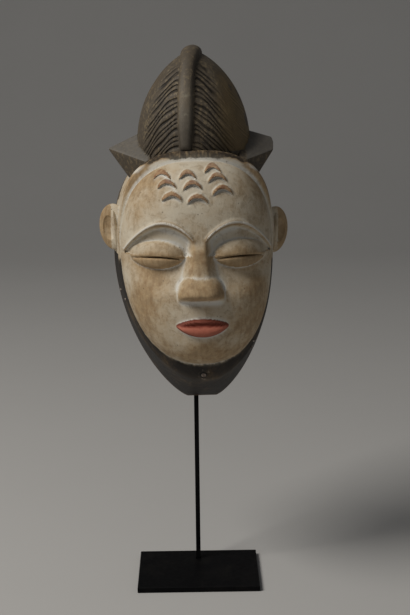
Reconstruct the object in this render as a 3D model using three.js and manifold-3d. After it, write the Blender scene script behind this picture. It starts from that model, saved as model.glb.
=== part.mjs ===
// A white-faced wooden mask with a crested coiffure, hung on a bent steel rod over a flat steel foot.
// Millimetres, +Z up, and the face looks along -Y. The origin is the centre of the foot's underside.
import * as THREE from "three";
import { ConvexGeometry } from "three/addons/geometries/ConvexGeometry.js";
import { mergeVertices } from "three/addons/utils/BufferGeometryUtils.js";
import Module from "manifold-3d";

const wasm = await Module();
wasm.setup();

// Foot and rod
const footWidth = 105;
const footDepth = 79;
const footThickness = 5;
const footChamfer = 0.6;
const rodSide = 4;
const rodSetIn = 16.5; // foot's back edge to the rod's middle
const socketDepth = 3.5;
const bendRadius = 8; // inside of the rod's bend
const armLength = 38; // rod's middle to the cross bar's middle
const crossBarLength = 44;
const fitGap = 0.3; // between pieces that touch
const roofGap = 1.2; // cross bar's ends to the hollow's roof

// How the mask hangs
const maskLift = 158; // floor to the mask's lowest edge
const maskTurn = THREE.MathUtils.degToRad(3);
const maskLean = THREE.MathUtils.degToRad(2);

// The mask's body, measured in its own frame: z from its lowest edge, y = 0 at the back plane of its rim
const bodyWidth = 136;
const widestHeight = 130;
const headTop = 213; // top of the head, under the crest
const lowerEdgeWidth = 24; // flat cut at the bottom of the rim
const lowerSway = 5.2; // the lower end bends to the viewer's right
const swayHeight = 120;
const frontDepth = 88; // back plane to the bridge of the nose
const cheekDepth = 40; // back plane to the face's edge, at the sides
const chinDepth = 64; // back plane to the face's edge, below the chin and at the hairline
const rimWall = 9;
const faceWall = 12;
const chinWall = 15;

// The face: an oval divided in thirds between hairline and chin
const hairline = 209;
const chinLine = 43;
const faceWidth = 124;
const slitHeight = 1.2;

// Hair band along the top edge of the face
const bandHeight = 7;
const bandDepth = 6;

// Crest: a lobe with a rib down its middle and combed grooves on both sides
const crestTop = 296;
const crestWidth = 95;
const crestFront = 60; // back plane to the lobe's front, at its foot
const crestTurn = THREE.MathUtils.degToRad(-9.5);
const crestShift = 1.8; // to the viewer's right
const ribWidth = 11.5;
const ribHeight = 5;
const grooveCount = 14;
const grooveSize = 1.5;
const groovePitch = 4.4;
const grooveSpan = 30;
const grooveDrop = 29.6; // how far a groove drops over its span
const grooveBend = 1.5; // 1 would be straight

// Side tresses, cut as points: how far each reaches from the middle line
const leftTressReach = 71;
const rightTressReach = 67;

// Ears
const earHeight = 39;
const leftEarMiddle = 152; // height of its middle
const rightEarMiddle = 147;
const leftEarStandOut = 13.5;
const rightEarStandOut = 12;
const earThickness = 8;
const earDepth = 20; // back plane to an ear's middle

// Forehead scars: three columns of three crescents
const scarCount = 3;
const scarWidth = 14;
const scarThickness = 3.4;
const scarRise = 6;
const scarRowPitch = 5.6;
const scarRowSpread = 1.3; // more between each row and the next
const scarColumnPitch = 20;

// Pegs left in the lacing holes of the rim
const chinPegWidth = 4.2;
const chinPegHeight = 32;
const chinPegOffset = -0.2;
const rimPegWidth = 1.8;
const pegLength = 9;
const pegStandOut = 0.9;

const middleHeight = (hairline + chinLine) / 2; // where front-view directions start from
const third = (hairline - chinLine) / 3;
const browLine = hairline - third;
const noseBase = browLine - third;
const mouthLine = noseBase - third / 3;
const eyeLine = browLine - third / 3;

const edge = (low, high, value) => THREE.MathUtils.smoothstep(value, low, high);
const hump = (x, z, width, height) => Math.exp(-((x / width) ** 2 + (z / height) ** 2) / 2);
const roundness = (share, power) => Math.max(0, 1 - Math.abs(share) ** power);

// Half the body's width at a height: a dome above, a narrowing shield below
function bodyHalfWidth(z) {
  if (z < 0 || z > headTop) return 0;
  if (z > widestHeight) {
    const domeShare = (z - widestHeight) / (headTop - widestHeight);
    return (bodyWidth / 2) * roundness(domeShare, 2.9) ** (1 / 2.9);
  }
  const fallShare = (widestHeight - z) / widestHeight;
  return lowerEdgeWidth / 2 + ((bodyWidth - lowerEdgeWidth) / 2) * roundness(fallShare, 2) ** 0.74;
}

// How far the lower end lies to the side
const sway = (z) => lowerSway * Math.max(0, 1 - z / swayHeight) ** 1.2;

// Half the face's width at a height: a full oval, a little wider above its middle
function faceHalfWidth(z) {
  const share = (z - middleHeight) / ((hairline - chinLine) / 2);
  return (faceWidth / 2) * roundness(share, 2.4) ** (1 / 2.4) * (1 + 0.08 * share);
}

// How far an outline reaches from the middle, in a direction of the front view
function reach(halfWidthAt, direction, middle) {
  let near = 0;
  let far = headTop + crestTop;
  for (let step = 0; step < 32; step++) {
    const tried = (near + far) / 2;
    const width = halfWidthAt(middle + tried * Math.sin(direction));
    if (Math.abs(tried * Math.cos(direction)) < width) near = tried;
    else far = tried;
  }
  return near;
}

// How far the brow's arc is above or below a point, and how far along the arc the point is
function browArc(x) {
  const inner = faceWidth * 0.04;
  const outer = faceWidth * 0.48;
  const along = (Math.abs(x) - inner) / (outer - inner);
  const held = THREE.MathUtils.clamp(along, 0, 1);
  const height = browLine - third * (0.13 + 0.16 * held) + third * 0.33 * Math.sin(Math.PI * held) ** 0.8;
  return { along, height };
}

const eyeMiddle = faceWidth * 0.27;
const lidHalfWidth = faceWidth * 0.175;
const lidBulge = 7.5;
const slitRise = 2.6;
const slitLevel = eyeLine - third * 0.06;
const slitAt = (x) => slitLevel + slitRise * roundness((Math.abs(x) - eyeMiddle) / lidHalfWidth, 2);

function socketAndBrow(x, z) {
  const arc = browArc(x);
  const below = arc.height - z;
  const onArc = edge(-0.06, 0.05, arc.along) * (1 - edge(0.97, 1.08, arc.along));
  const ridge = 1.8 * onArc * Math.exp(-(((below + 1) / 1.4) ** 2));
  const fromEye = (Math.abs(x) - eyeMiddle) / (faceWidth * 0.25);
  const around = Math.hypot(fromEye, (z - eyeLine) / (third * 0.58));
  const floor = z > eyeLine ? 1 - edge(0.9, 1.15, Math.abs(fromEye)) : 1;
  const socket = 6.5 * edge(0.2, 4.5, below) * Math.min(floor, 1 - edge(0.45, 1.1, z > eyeLine ? 0 : around));
  return ridge - socket * edge(-0.02, 0.1, arc.along);
}

function eyelids(x, z) {
  const across = (Math.abs(x) - eyeMiddle) / lidHalfWidth;
  const up = (z - eyeLine) / (z > eyeLine ? third * 0.22 : third * 0.19);
  const bulge = lidBulge * Math.sqrt(Math.max(0, 1 - across * across - up * up));
  const toSlit = z - slitAt(x);
  const crease = 2.6 * Math.exp(-((toSlit / 0.9) ** 2)) * roundness(across, 5);
  const upperLid = toSlit > 0 ? 0.9 * Math.exp(-toSlit / 5) * roundness(across, 2) : 0;
  return bulge > 0 ? bulge + upperLid - crease * Math.min(1, bulge / 2) : 0;
}

function nose(x, z) {
  const wingHalfWidth = faceWidth * 0.152;
  const tipHeight = noseBase + third * 0.12;
  const bridgeTop = browLine - third * 0.12;
  const down = THREE.MathUtils.clamp((bridgeTop - z) / (bridgeTop - tipHeight), 0, 1);
  const bridge = (2.5 + 10 * down ** 1.5) * edge(0, 0.25, down) * roundness(x / (9 + 8 * down), 2);
  const lobeAcross = x / wingHalfWidth;
  const lobeUp = (z - tipHeight) / (z > tipHeight ? third * 0.3 : third * 0.5);
  const lobe = 15.5 * Math.max(0, 1 - Math.abs(lobeAcross) ** 2.6 - lobeUp ** 2) ** 0.62;
  const underside = edge(noseBase - 0.6, tipHeight + 0.6, z);
  return Math.max(bridge, lobe) * underside;
}

const mouthHalfWidth = faceWidth * 0.172;
function lips(x, z) {
  const across = x / mouthHalfWidth;
  if (Math.abs(across) >= 1) return 0;
  const upperEdge = mouthLine + third * 0.1 * roundness(across, 2) ** 0.75;
  const lowerEdge = mouthLine - third * 0.165 * roundness(across, 2) ** 0.75;
  if (z > upperEdge || z < lowerEdge) return 0;
  const ends = roundness(across, 6) * edge(0, 1.4, Math.min(upperEdge - z, z - lowerEdge));
  if (z > mouthLine) {
    const up = (z - mouthLine) / (upperEdge - mouthLine);
    return ends * (1 + 3 * up ** 0.7);
  }
  const down = (mouthLine - z) / (mouthLine - lowerEdge);
  return ends * (1.2 + 4.8 * Math.sin(Math.PI * (0.12 + 0.72 * down)) ** 0.8);
}

// All that is carved forward of, or into, the plain oval of the face
function faceRelief(x, z) {
  const forehead = 5 * hump(x, z - (hairline - third * 0.5), faceWidth * 0.3, third * 0.5);
  const muzzle = 6 * hump(x, z - mouthLine, faceWidth * 0.2, third * 0.33);
  const chin = 4.5 * hump(x, z - (chinLine + third * 0.3), faceWidth * 0.11, third * 0.2);
  const cheeks = 3 * hump(Math.abs(x) - faceWidth * 0.29, z - (noseBase + 4), faceWidth * 0.13, third * 0.36);
  const features = Math.max(nose(x, z), eyelids(x, z)) + lips(x, z);
  return forehead + muzzle + chin + cheeks + socketAndBrow(x, z) + features;
}

// The same with every edge softened, so that flats a few millimetres wide can follow it
const softness = 3.5;
const softSteps = 12;
function softRelief(x, z) {
  let sum = 2 * faceRelief(x, z);
  for (let step = 0; step < softSteps; step++) {
    const away = step % 2 ? softness : softness / 2;
    const turn = (step * 2 * Math.PI) / softSteps;
    sum += faceRelief(x + away * Math.cos(turn), z + away * Math.sin(turn));
  }
  return sum / (softSteps + 2);
}

// The front's grid has so many steps from the middle of the face to its edge, and on to the rim
const faceSteps = 20;
const sideSteps = 4;
const faceShare = faceSteps / (faceSteps + sideSteps);

// Stations on the way back from the face's edge to the rim, so that the hair band's edges stay crisp:
// a grid step, the share of the way outward there, and the depth behind the face's edge
function sidePlace(step, edgeDepth) {
  const stations = [
    [0, 0, 0],
    [1, 1 / 16, 0.8],
    [2, 1 / 4, bandDepth],
    [3, 5 / 16, bandDepth + 1.6],
    [sideSteps, 1, edgeDepth],
  ];
  const last = Math.max(1, stations.findIndex((station) => station[0] >= step));
  const [from, to] = [stations[last - 1], stations[last]];
  const along = (step - from[0]) / (to[0] - from[0]);
  return { outward: from[1] + (to[1] - from[1]) * along, fromEdge: from[2] + (to[2] - from[2]) * along };
}

// A point of the mask's front for a share of the way out to the rim, in a direction of the front view
function bodyPoint(share, direction) {
  const bodyReach = reach(bodyHalfWidth, direction, middleHeight);
  const faceReach = Math.min(reach(faceHalfWidth, direction, middleHeight), bodyReach - 2);
  const upright = Math.abs(Math.sin(direction)) ** 3;
  const edgeDepth = cheekDepth + (chinDepth - cheekDepth) * upright;
  let distance;
  let depth;
  if (share <= faceShare) {
    const out = Math.sin(((share / faceShare) * Math.PI) / 2);
    distance = faceReach * out;
    depth = edgeDepth + (frontDepth - edgeDepth) * Math.sqrt(roundness(out, 2.6));
    const x = distance * Math.cos(direction);
    const z = middleHeight + distance * Math.sin(direction);
    depth += softRelief(x, z) * (1 - edge(0.93, 1, out));
  } else {
    const step = Math.min(share * (faceSteps + sideSteps) - faceSteps, sideSteps);
    const { outward, fromEdge } = sidePlace(step, edgeDepth);
    distance = faceReach + (bodyReach - faceReach) * outward ** 0.92;
    depth = edgeDepth - fromEdge;
    const overBrow = edge(0.5, 0.95, Math.sin(direction));
    const band = edge(0, 0.8, fromEdge) * (1 - edge(bandDepth, bandDepth + 1.6, fromEdge));
    const taper = 0.25 + 0.75 * overBrow;
    distance += bandHeight * band * taper * edge(0.05, 0.35, Math.sin(direction));
  }
  const z = middleHeight + distance * Math.sin(direction);
  return new THREE.Vector3(distance * Math.cos(direction) + sway(z), -depth, z);
}

// The face's surface at a place on its front view, above the part that bends to the side
function faceSurface(x, z) {
  const direction = Math.atan2(z - middleHeight, x);
  const out = Math.hypot(x, z - middleHeight) / reach(faceHalfWidth, direction, middleHeight);
  return bodyPoint((Math.asin(Math.min(out, 1)) * 2 * faceShare) / Math.PI, direction);
}

// The lobe of the crest, about its own upright axis
const crestMiddle = headTop - 2;
const crestSink = 60; // how far the lobe goes down into the head
function crestHalfWidth(z) {
  const above = z > crestMiddle;
  const share = above ? (z - crestMiddle) / (crestTop - crestMiddle) : (crestMiddle - z) / crestSink;
  return (crestWidth / 2) * roundness(share, 2.3) ** 0.7;
}
function crestPoint(share, direction) {
  const out = Math.sin((share * Math.PI) / 2);
  const distance = out * reach(crestHalfWidth, direction, crestMiddle);
  const power = 2.1 + 0.7 * Math.abs(Math.sin(direction));
  return new THREE.Vector3(
    distance * Math.cos(direction),
    -crestFront * roundness(out, power) ** (1 / power),
    crestMiddle + distance * Math.sin(direction),
  );
}
// The lobe's surface straight in front of a place on its front view
function crestSurface(x, z) {
  const direction = Math.atan2(z - crestMiddle, x);
  const out = Math.hypot(x, z - crestMiddle) / reach(crestHalfWidth, direction, crestMiddle);
  return crestPoint((Math.asin(Math.min(out, 1)) * 2) / Math.PI, direction);
}

// The carved-out inside, from just behind the back plane to the back of the face
const hollowOverrun = 6;
function hollowPoint(share, direction) {
  const downward = edge(0.2, 1, -Math.sin(direction));
  const power = 2.4 - 0.75 * downward;
  const wall = rimWall + (chinWall - rimWall) * downward;
  const out = Math.sin((share * Math.PI) / 2);
  const distance = out * (reach(bodyHalfWidth, direction, middleHeight) - wall);
  const depth = (frontDepth - faceWall + hollowOverrun) * roundness(out, power) ** (1 / power);
  const z = middleHeight + distance * Math.sin(direction);
  return new THREE.Vector3(distance * Math.cos(direction) + sway(z), hollowOverrun - depth, z);
}
// For points above the part that bends to the side
function insideHollow(point) {
  const direction = Math.atan2(point.z - middleHeight, point.x);
  const limit = hollowPoint(1, direction);
  const out = Math.hypot(point.x, point.z - middleHeight) / Math.hypot(limit.x, limit.z - middleHeight);
  if (out >= 1) return false;
  return point.y > hollowPoint((Math.asin(out) * 2) / Math.PI, direction).y;
}

// A square's place on a disc, as the share of the way out and the direction: squares become circles
function discPlace(u, v) {
  if (Math.abs(u) > Math.abs(v)) return [Math.abs(u), ((v / u) * Math.PI) / 4 + (u < 0 ? Math.PI : 0)];
  if (v === 0) return [0, 0];
  return [Math.abs(v), Math.PI / 2 - ((u / v) * Math.PI) / 4 + (v < 0 ? Math.PI : 0)];
}

// A solid that bulges forward of a flat back: a square grid is bent into a disc, and each of its
// cells is split along the diagonal that keeps closer to the surface
function bulgeGeometry(pointAt, divisions) {
  const size = divisions + 1;
  const along = (step) => (2 * step) / divisions - 1;
  const placeOn = (column, row) => pointAt(...discPlace(along(column), along(row)));
  const points = [];
  for (let row = 0; row < size; row++)
    for (let column = 0; column < size; column++) points.push(placeOn(column, row));
  const missBetween = (first, second, middle) =>
    points[first].clone().add(points[second]).multiplyScalar(0.5).distanceTo(middle);
  const faces = [];
  for (let row = 0; row < divisions; row++)
    for (let column = 0; column < divisions; column++) {
      const near = row * size + column;
      const far = near + size;
      const middle = placeOn(column + 0.5, row + 0.5);
      if (missBetween(near, far + 1, middle) < missBetween(near + 1, far, middle)) {
        faces.push(near, near + 1, far + 1, near, far + 1, far);
      } else faces.push(near, near + 1, far, near + 1, far + 1, far);
    }
  const rim = [];
  for (let i = 0; i < divisions; i++) rim.push(i);
  for (let i = 0; i < divisions; i++) rim.push(i * size + divisions);
  for (let i = divisions; i > 0; i--) rim.push(divisions * size + i);
  for (let i = divisions; i > 0; i--) rim.push(i * size);
  const backMiddle = points.length;
  points.push(new THREE.Vector3(0, points[0].y, points[(size * size - 1) / 2].z));
  rim.forEach((number, i) => faces.push(rim[(i + 1) % rim.length], number, backMiddle));
  const geometry = new THREE.BufferGeometry().setFromPoints(points);
  geometry.setIndex(faces);
  return geometry;
}

// Geometry to solid and back, for cutting and joining
function solidOf(geometry, matrix = new THREE.Matrix4()) {
  const bare = new THREE.BufferGeometry();
  const loose = geometry.index ? geometry.toNonIndexed() : geometry.clone();
  bare.setAttribute("position", loose.getAttribute("position").clone());
  bare.applyMatrix4(matrix);
  const merged = mergeVertices(bare, 1e-4);
  const triVerts = new Uint32Array(merged.index.array);
  if (matrix.determinant() < 0) triVerts.reverse(); // a mirrored copy would face inwards
  const vertProperties = merged.attributes.position.array;
  return new wasm.Manifold(new wasm.Mesh({ numProp: 3, vertProperties, triVerts }));
}
const mirrored = (side) => new THREE.Matrix4().makeScale(side, 1, 1);
function geometryOf(solid) {
  const { vertProperties, triVerts } = solid.getMesh();
  const geometry = new THREE.BufferGeometry();
  geometry.setAttribute("position", new THREE.BufferAttribute(new Float32Array(vertProperties), 3));
  geometry.setIndex(new THREE.BufferAttribute(new Uint32Array(triVerts), 1));
  return geometry;
}
// The biggest body alone, without chips or sealed hollows that a cut has left
const onePiece = (solid) => solid.decompose().sort((a, b) => b.volume() - a.volume())[0];
const at = (x, y, z) => new THREE.Matrix4().makeTranslation(x, y, z);
const box = (width, depth, height) => new THREE.BoxGeometry(width, depth, height);
function sweep(points, halfWidth, halfHeight, sides, steps) {
  const section = new THREE.Shape();
  section.absellipse(0, 0, halfWidth, halfHeight, 0, Math.PI * 2);
  const outline = new THREE.Shape(section.getPoints(sides).slice(0, sides));
  const path = new THREE.CatmullRomCurve3(points);
  return new THREE.ExtrudeGeometry(outline, { steps, extrudePath: path, bevelEnabled: false });
}

// Crest: lobe, rib and combed grooves, turned about the head's upright axis
function crestSolid() {
  const ribPoints = [];
  const ribStart = crestMiddle + 2;
  for (const share of [0, 0.2, 0.4, 0.58, 0.73, 0.86, 0.95, 1]) {
    const z = ribStart + (crestTop - 0.5 - ribStart) * share;
    ribPoints.push(crestSurface(0, z).add(new THREE.Vector3(0, 0.6, -0.4)));
  }
  ribPoints.push(new THREE.Vector3(0, -2, crestTop - 0.5));
  const turn = at(crestShift, 0, 0).multiply(new THREE.Matrix4().makeRotationZ(crestTurn));
  let crest = solidOf(bulgeGeometry(crestPoint, 18), turn);
  crest = crest.add(solidOf(sweep(ribPoints, ribHeight, ribWidth / 2, 9, 14), turn));
  for (const side of [-1, 1])
    for (let groove = 0; groove < grooveCount; groove++) {
      const start = crestMiddle + 3 * groovePitch + groove * groovePitch;
      const span = (crestHalfWidth(start) - ribWidth / 2) * 0.86;
      const path = [];
      for (const share of [0, 0.3, 0.6, 1]) {
        const beside = span * share;
        const z = start - grooveDrop * (beside / grooveSpan) ** grooveBend;
        if (z > crestMiddle - 4) path.push(crestSurface(side * (ribWidth / 2 + 0.6 + beside), z));
      }
      if (path.length > 2) crest = crest.subtract(solidOf(sweep(path, grooveSize, grooveSize, 4, 2), turn));
    }
  const behind = solidOf(box(3 * crestWidth, crestWidth, 4 * crestWidth), at(0, crestWidth / 2, crestMiddle));
  return crest.subtract(behind);
}

// The forehead's scars: raised crescents, open below, that run out into the face at both ends
function scarSolids() {
  const solids = [];
  const radius = scarThickness / 2;
  for (let row = 0; row < scarCount; row++)
    for (let column = 0; column < scarCount; column++) {
      const away = column - (scarCount - 1) / 2;
      const centreX = away * scarColumnPitch - 8.4 + row * 3.6;
      const drop = row * (scarRowPitch + row * scarRowSpread) + row * (1 - Math.abs(away));
      const topZ = hairline - 5.5 - radius - drop + away * (2.3 + away * 2);
      const path = [];
      for (let across = -1; across <= 1; across += 0.25) {
        const x = centreX + across * (scarWidth / 2 + row * 0.7);
        const point = faceSurface(x, topZ - scarRise * across ** 2);
        path.push(point.setY(point.y - radius * (0.35 - across ** 4)));
      }
      solids.push(solidOf(sweep(path, radius, radius, 4, 5)));
    }
  return solids;
}

// A side tress: a faceted point that grows out of the head beside the lobe. A tip is given as how far
// it stays inward of the tress's reach, its place from back to front, and its height over the lobe's middle
function tressSolid(side, tressReach, tips) {
  const root = crestWidth * 0.38;
  const corners = [
    [root, -8, crestMiddle + 22],
    [root, -crestFront * 0.85, crestMiddle - 5],
    [root, -3, crestMiddle - 45],
    [root, -crestFront * 0.5, crestMiddle - 42],
    [root, -2, crestMiddle - 4],
    ...tips.map(([inward, y, up]) => [tressReach - inward, y, crestMiddle + up]),
  ];
  return solidOf(new ConvexGeometry(corners.map(([x, y, z]) => new THREE.Vector3(side * x, y, z))));
}

// An ear: a flat round lobe with a hollowed front and a small flap before it
function earSolid(side, earStandOut, earMiddle) {
  const half = earHeight / 2;
  const rooted = 12; // how deep the lobe goes into the head
  const lobe = new THREE.SphereGeometry(1, 14, 9);
  lobe.scale((earStandOut + rooted) / 2, earThickness / 2, half).translate((earStandOut - rooted) / 2, 0, 0);
  const bowl = new THREE.SphereGeometry(1, 10, 7);
  bowl.scale(earStandOut * 0.42, 3.2, half * 0.58).translate(earStandOut * 0.36, -earThickness / 2 - 0.4, 0);
  const flap = new THREE.SphereGeometry(1, 8, 6);
  flap.scale(2.4, 4, half * 0.8).translate(-0.5, -earThickness / 2 + 1, -half * 0.08);
  const place = at(side * (bodyHalfWidth(earMiddle) - 1), -earDepth, earMiddle)
    .multiply(new THREE.Matrix4().makeRotationZ(side * 0.25))
    .multiply(new THREE.Matrix4().makeRotationY(side * 0.1))
    .multiply(mirrored(side));
  return solidOf(lobe, place).subtract(solidOf(bowl, place)).add(solidOf(flap, place));
}

// A thin curved slot through each eye, along the line where the lids meet
function eyeSlit(side) {
  const slot = new THREE.Shape();
  const reachOut = lidHalfWidth * 0.8;
  const arc = [];
  for (let step = 0; step <= 8; step++) {
    const x = eyeMiddle - reachOut + (2 * reachOut * step) / 8;
    arc.push([x, slitAt(x), (slitHeight / 2) * Math.max(0.25, roundness((x - eyeMiddle) / reachOut, 2))]);
  }
  arc.forEach(([x, z, half], i) => (i ? slot.lineTo(x, z - half) : slot.moveTo(x, z - half)));
  arc.reverse().forEach(([x, z, half]) => slot.lineTo(x, z + half));
  const cutter = new THREE.ExtrudeGeometry(slot, { depth: frontDepth, bevelEnabled: false });
  cutter.rotateX(Math.PI / 2).translate(0, -frontDepth * 0.3, 0);
  return solidOf(cutter, mirrored(side));
}

// The holes along the rim and the pegs left in them, square to the wood where they stand
function pegPlaces() {
  const places = [
    { name: "chin_peg", width: chinPegWidth, x: chinPegOffset, z: chinPegHeight },
    { name: "rim_peg_left_upper", width: rimPegWidth, side: -1, inset: 2.4, z: 98 },
    { name: "rim_peg_left_lower", width: rimPegWidth, side: -1, inset: 5.2, z: 93 },
    { name: "rim_peg_right_upper", width: rimPegWidth, side: 1, inset: 10.5, z: 57 },
    { name: "rim_peg_right_lower", width: rimPegWidth, side: 1, inset: 10, z: 51.5 },
  ];
  return places.map((place) => {
    const x = place.side ? place.side * (bodyHalfWidth(place.z) - place.inset) : place.x;
    const direction = Math.atan2(place.z - middleHeight, x);
    const wanted = Math.hypot(x, place.z - middleHeight);
    let near = faceShare;
    let far = 1;
    for (let step = 0; step < 30; step++) {
      const tried = (near + far) / 2;
      const point = bodyPoint(tried, direction);
      if (Math.hypot(point.x, point.z - middleHeight) < wanted) near = tried;
      else far = tried;
    }
    const spot = bodyPoint(near, direction);
    const along = bodyPoint(near + 0.02, direction).sub(bodyPoint(near - 0.02, direction));
    const around = bodyPoint(near, direction + 0.03).sub(bodyPoint(near, direction - 0.03));
    const outward = along.cross(around).normalize();
    if (outward.y > 0) outward.negate();
    return { ...place, spot, outward };
  });
}
function pegGeometry(width, length, headRound) {
  const radius = width / 2;
  const profile = [
    new THREE.Vector2(0, -length),
    new THREE.Vector2(radius, -length),
    new THREE.Vector2(radius, pegStandOut - headRound),
    new THREE.Vector2(radius * 0.7, pegStandOut),
    new THREE.Vector2(0, pegStandOut),
  ];
  return new THREE.LatheGeometry(profile, 8);
}
function pegMatrix({ spot, outward }) {
  const turn = new THREE.Quaternion().setFromUnitVectors(new THREE.Vector3(0, 1, 0), outward);
  return new THREE.Matrix4().compose(spot, turn, new THREE.Vector3(1, 1, 1));
}

// The carved mask, one block of wood
function maskGeometry(pegs) {
  let mask = solidOf(bulgeGeometry(bodyPoint, 2 * (faceSteps + sideSteps)));
  for (const scar of scarSolids()) mask = mask.add(scar);
  mask = mask.add(crestSolid());
  mask = mask.add(tressSolid(-1, leftTressReach, [[0, -16, 6]]));
  mask = mask.add(tressSolid(1, rightTressReach, [[1, -12, 13], [0, -16, 9], [1, -24, 3], [4, -6, 3]]));
  mask = mask.add(earSolid(-1, leftEarStandOut, leftEarMiddle));
  mask = mask.add(earSolid(1, rightEarStandOut, rightEarMiddle));
  mask = mask.subtract(solidOf(bulgeGeometry(hollowPoint, 16)));
  for (const side of [-1, 1]) mask = mask.subtract(eyeSlit(side));
  for (const peg of pegs) {
    const radius = peg.width / 2 + fitGap;
    const depth = pegLength + fitGap;
    const hole = new THREE.CylinderGeometry(radius, radius, depth + 10, 12).translate(0, 5 - depth / 2, 0);
    mask = mask.subtract(solidOf(hole, pegMatrix(peg)));
  }
  return geometryOf(onePiece(mask.simplify(0.25)));
}

// Where the mask hangs: the wall below its hollow just clears the rod, turned and leaning a little
const rodY = footDepth / 2 - rodSetIn;
const leanRoom = chinWall * 1.2 * Math.sin(maskLean) + rodSide * Math.sin(maskTurn) + fitGap;
const maskGroup = new THREE.Group();
maskGroup.position.set(0, rodY - rodSide / 2 - leanRoom, maskLift);
maskGroup.rotation.set(-maskLean, 0, maskTurn, "ZXY");
maskGroup.updateMatrix();

const footMaterial = new THREE.MeshStandardMaterial({ color: 0x141414, roughness: 0.55, metalness: 0.4 });
const rodMaterial = new THREE.MeshStandardMaterial({ color: 0x101010, roughness: 0.5, metalness: 0.4 });
const woodMaterial = new THREE.MeshStandardMaterial({ color: 0xb09a78, roughness: 0.75, metalness: 0 });
const pegMaterial = new THREE.MeshStandardMaterial({ color: 0x7a6a58, roughness: 0.8, metalness: 0 });

function pieceMesh(name, geometry, material) {
  const mesh = new THREE.Mesh(geometry, material);
  mesh.name = name;
  return mesh;
}

// The foot: a chamfered plate with a square socket for the rod
function footGeometry() {
  const halfWidth = footWidth / 2;
  const halfDepth = footDepth / 2;
  const plan = new THREE.Shape();
  plan.moveTo(-halfWidth, -halfDepth);
  plan.lineTo(halfWidth, -halfDepth);
  plan.lineTo(halfWidth, halfDepth);
  plan.lineTo(-halfWidth, halfDepth);
  const plate = new THREE.ExtrudeGeometry(plan, {
    depth: footThickness - 2 * footChamfer,
    bevelThickness: footChamfer,
    bevelSize: footChamfer,
    bevelOffset: -footChamfer,
    bevelSegments: 1,
  });
  plate.translate(0, 0, footChamfer);
  const socketSide = rodSide + 2 * fitGap;
  const socket = box(socketSide, socketSide, 2 * socketDepth);
  return geometryOf(solidOf(plate).subtract(solidOf(socket, at(0, rodY, footThickness))));
}

// The rod: up behind the mask, bent forward into the hollow, with a cross bar under the hollow's roof
function rodGeometry() {
  const half = rodSide / 2;
  const barY = rodY - armLength;
  const toMask = maskGroup.matrix.clone().invert();
  const fits = (top) =>
    [-1, 1].every((sideX) =>
      [-1, 1].every((sideY) => {
        const corner = new THREE.Vector3((sideX * crossBarLength) / 2, barY + sideY * half, top + roofGap);
        return insideHollow(corner.applyMatrix4(toMask));
      }),
    );
  let low = maskLift + middleHeight;
  let high = maskLift + headTop;
  for (let step = 0; step < 30; step++) {
    const tried = (low + high) / 2;
    if (fits(tried)) low = tried;
    else high = tried;
  }
  const armTop = low;
  const outer = bendRadius + rodSide;
  const bendY = rodY + half - outer;
  const bendZ = armTop - outer;
  const side = new THREE.Shape();
  side.moveTo(rodY + half, footThickness - socketDepth + fitGap);
  side.lineTo(rodY + half, bendZ);
  side.absarc(bendY, bendZ, outer, 0, Math.PI / 2, false);
  side.lineTo(barY - half, armTop);
  side.lineTo(barY - half, armTop - rodSide);
  side.lineTo(bendY, armTop - rodSide);
  side.absarc(bendY, bendZ, bendRadius, Math.PI / 2, 0, true);
  side.lineTo(rodY - half, footThickness - socketDepth + fitGap);
  const bent = new THREE.ExtrudeGeometry(side, { depth: rodSide, bevelEnabled: false, curveSegments: 8 });
  const upright = new THREE.Matrix4().makeBasis(
    new THREE.Vector3(0, 1, 0),
    new THREE.Vector3(0, 0, 1),
    new THREE.Vector3(1, 0, 0),
  );
  const rod = solidOf(bent, at(-half, 0, 0).multiply(upright));
  const bar = solidOf(box(crossBarLength, rodSide, rodSide), at(0, barY, armTop - half));
  return geometryOf(rod.add(bar));
}

const part = new THREE.Group();
part.add(pieceMesh("foot", footGeometry(), footMaterial));
part.add(pieceMesh("rod", rodGeometry(), rodMaterial));
const pegs = pegPlaces();
maskGroup.add(pieceMesh("mask", maskGeometry(pegs), woodMaterial));
for (const peg of pegs) {
  const mesh = pieceMesh(peg.name, pegGeometry(peg.width, pegLength, 0.4), pegMaterial);
  mesh.applyMatrix4(pegMatrix(peg));
  maskGroup.add(mesh);
}
part.add(maskGroup);

export default part;
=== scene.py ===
import math
import bmesh
import bpy
import numpy as np
from mathutils import Matrix, Vector, noise


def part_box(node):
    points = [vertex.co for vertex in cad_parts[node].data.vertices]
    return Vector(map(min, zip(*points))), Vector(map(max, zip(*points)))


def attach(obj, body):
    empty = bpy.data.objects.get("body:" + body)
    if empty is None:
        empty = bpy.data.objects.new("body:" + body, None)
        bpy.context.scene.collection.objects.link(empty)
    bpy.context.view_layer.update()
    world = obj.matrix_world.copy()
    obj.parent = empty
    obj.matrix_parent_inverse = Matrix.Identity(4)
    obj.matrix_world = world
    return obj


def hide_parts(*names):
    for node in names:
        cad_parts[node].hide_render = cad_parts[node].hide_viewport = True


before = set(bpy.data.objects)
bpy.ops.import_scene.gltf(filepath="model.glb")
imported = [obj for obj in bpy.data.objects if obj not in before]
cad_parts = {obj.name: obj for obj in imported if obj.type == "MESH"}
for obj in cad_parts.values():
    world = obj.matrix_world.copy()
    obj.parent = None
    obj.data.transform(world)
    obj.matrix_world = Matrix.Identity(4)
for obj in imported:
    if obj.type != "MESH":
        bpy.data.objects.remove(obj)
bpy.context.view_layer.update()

MM = 0.001

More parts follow.
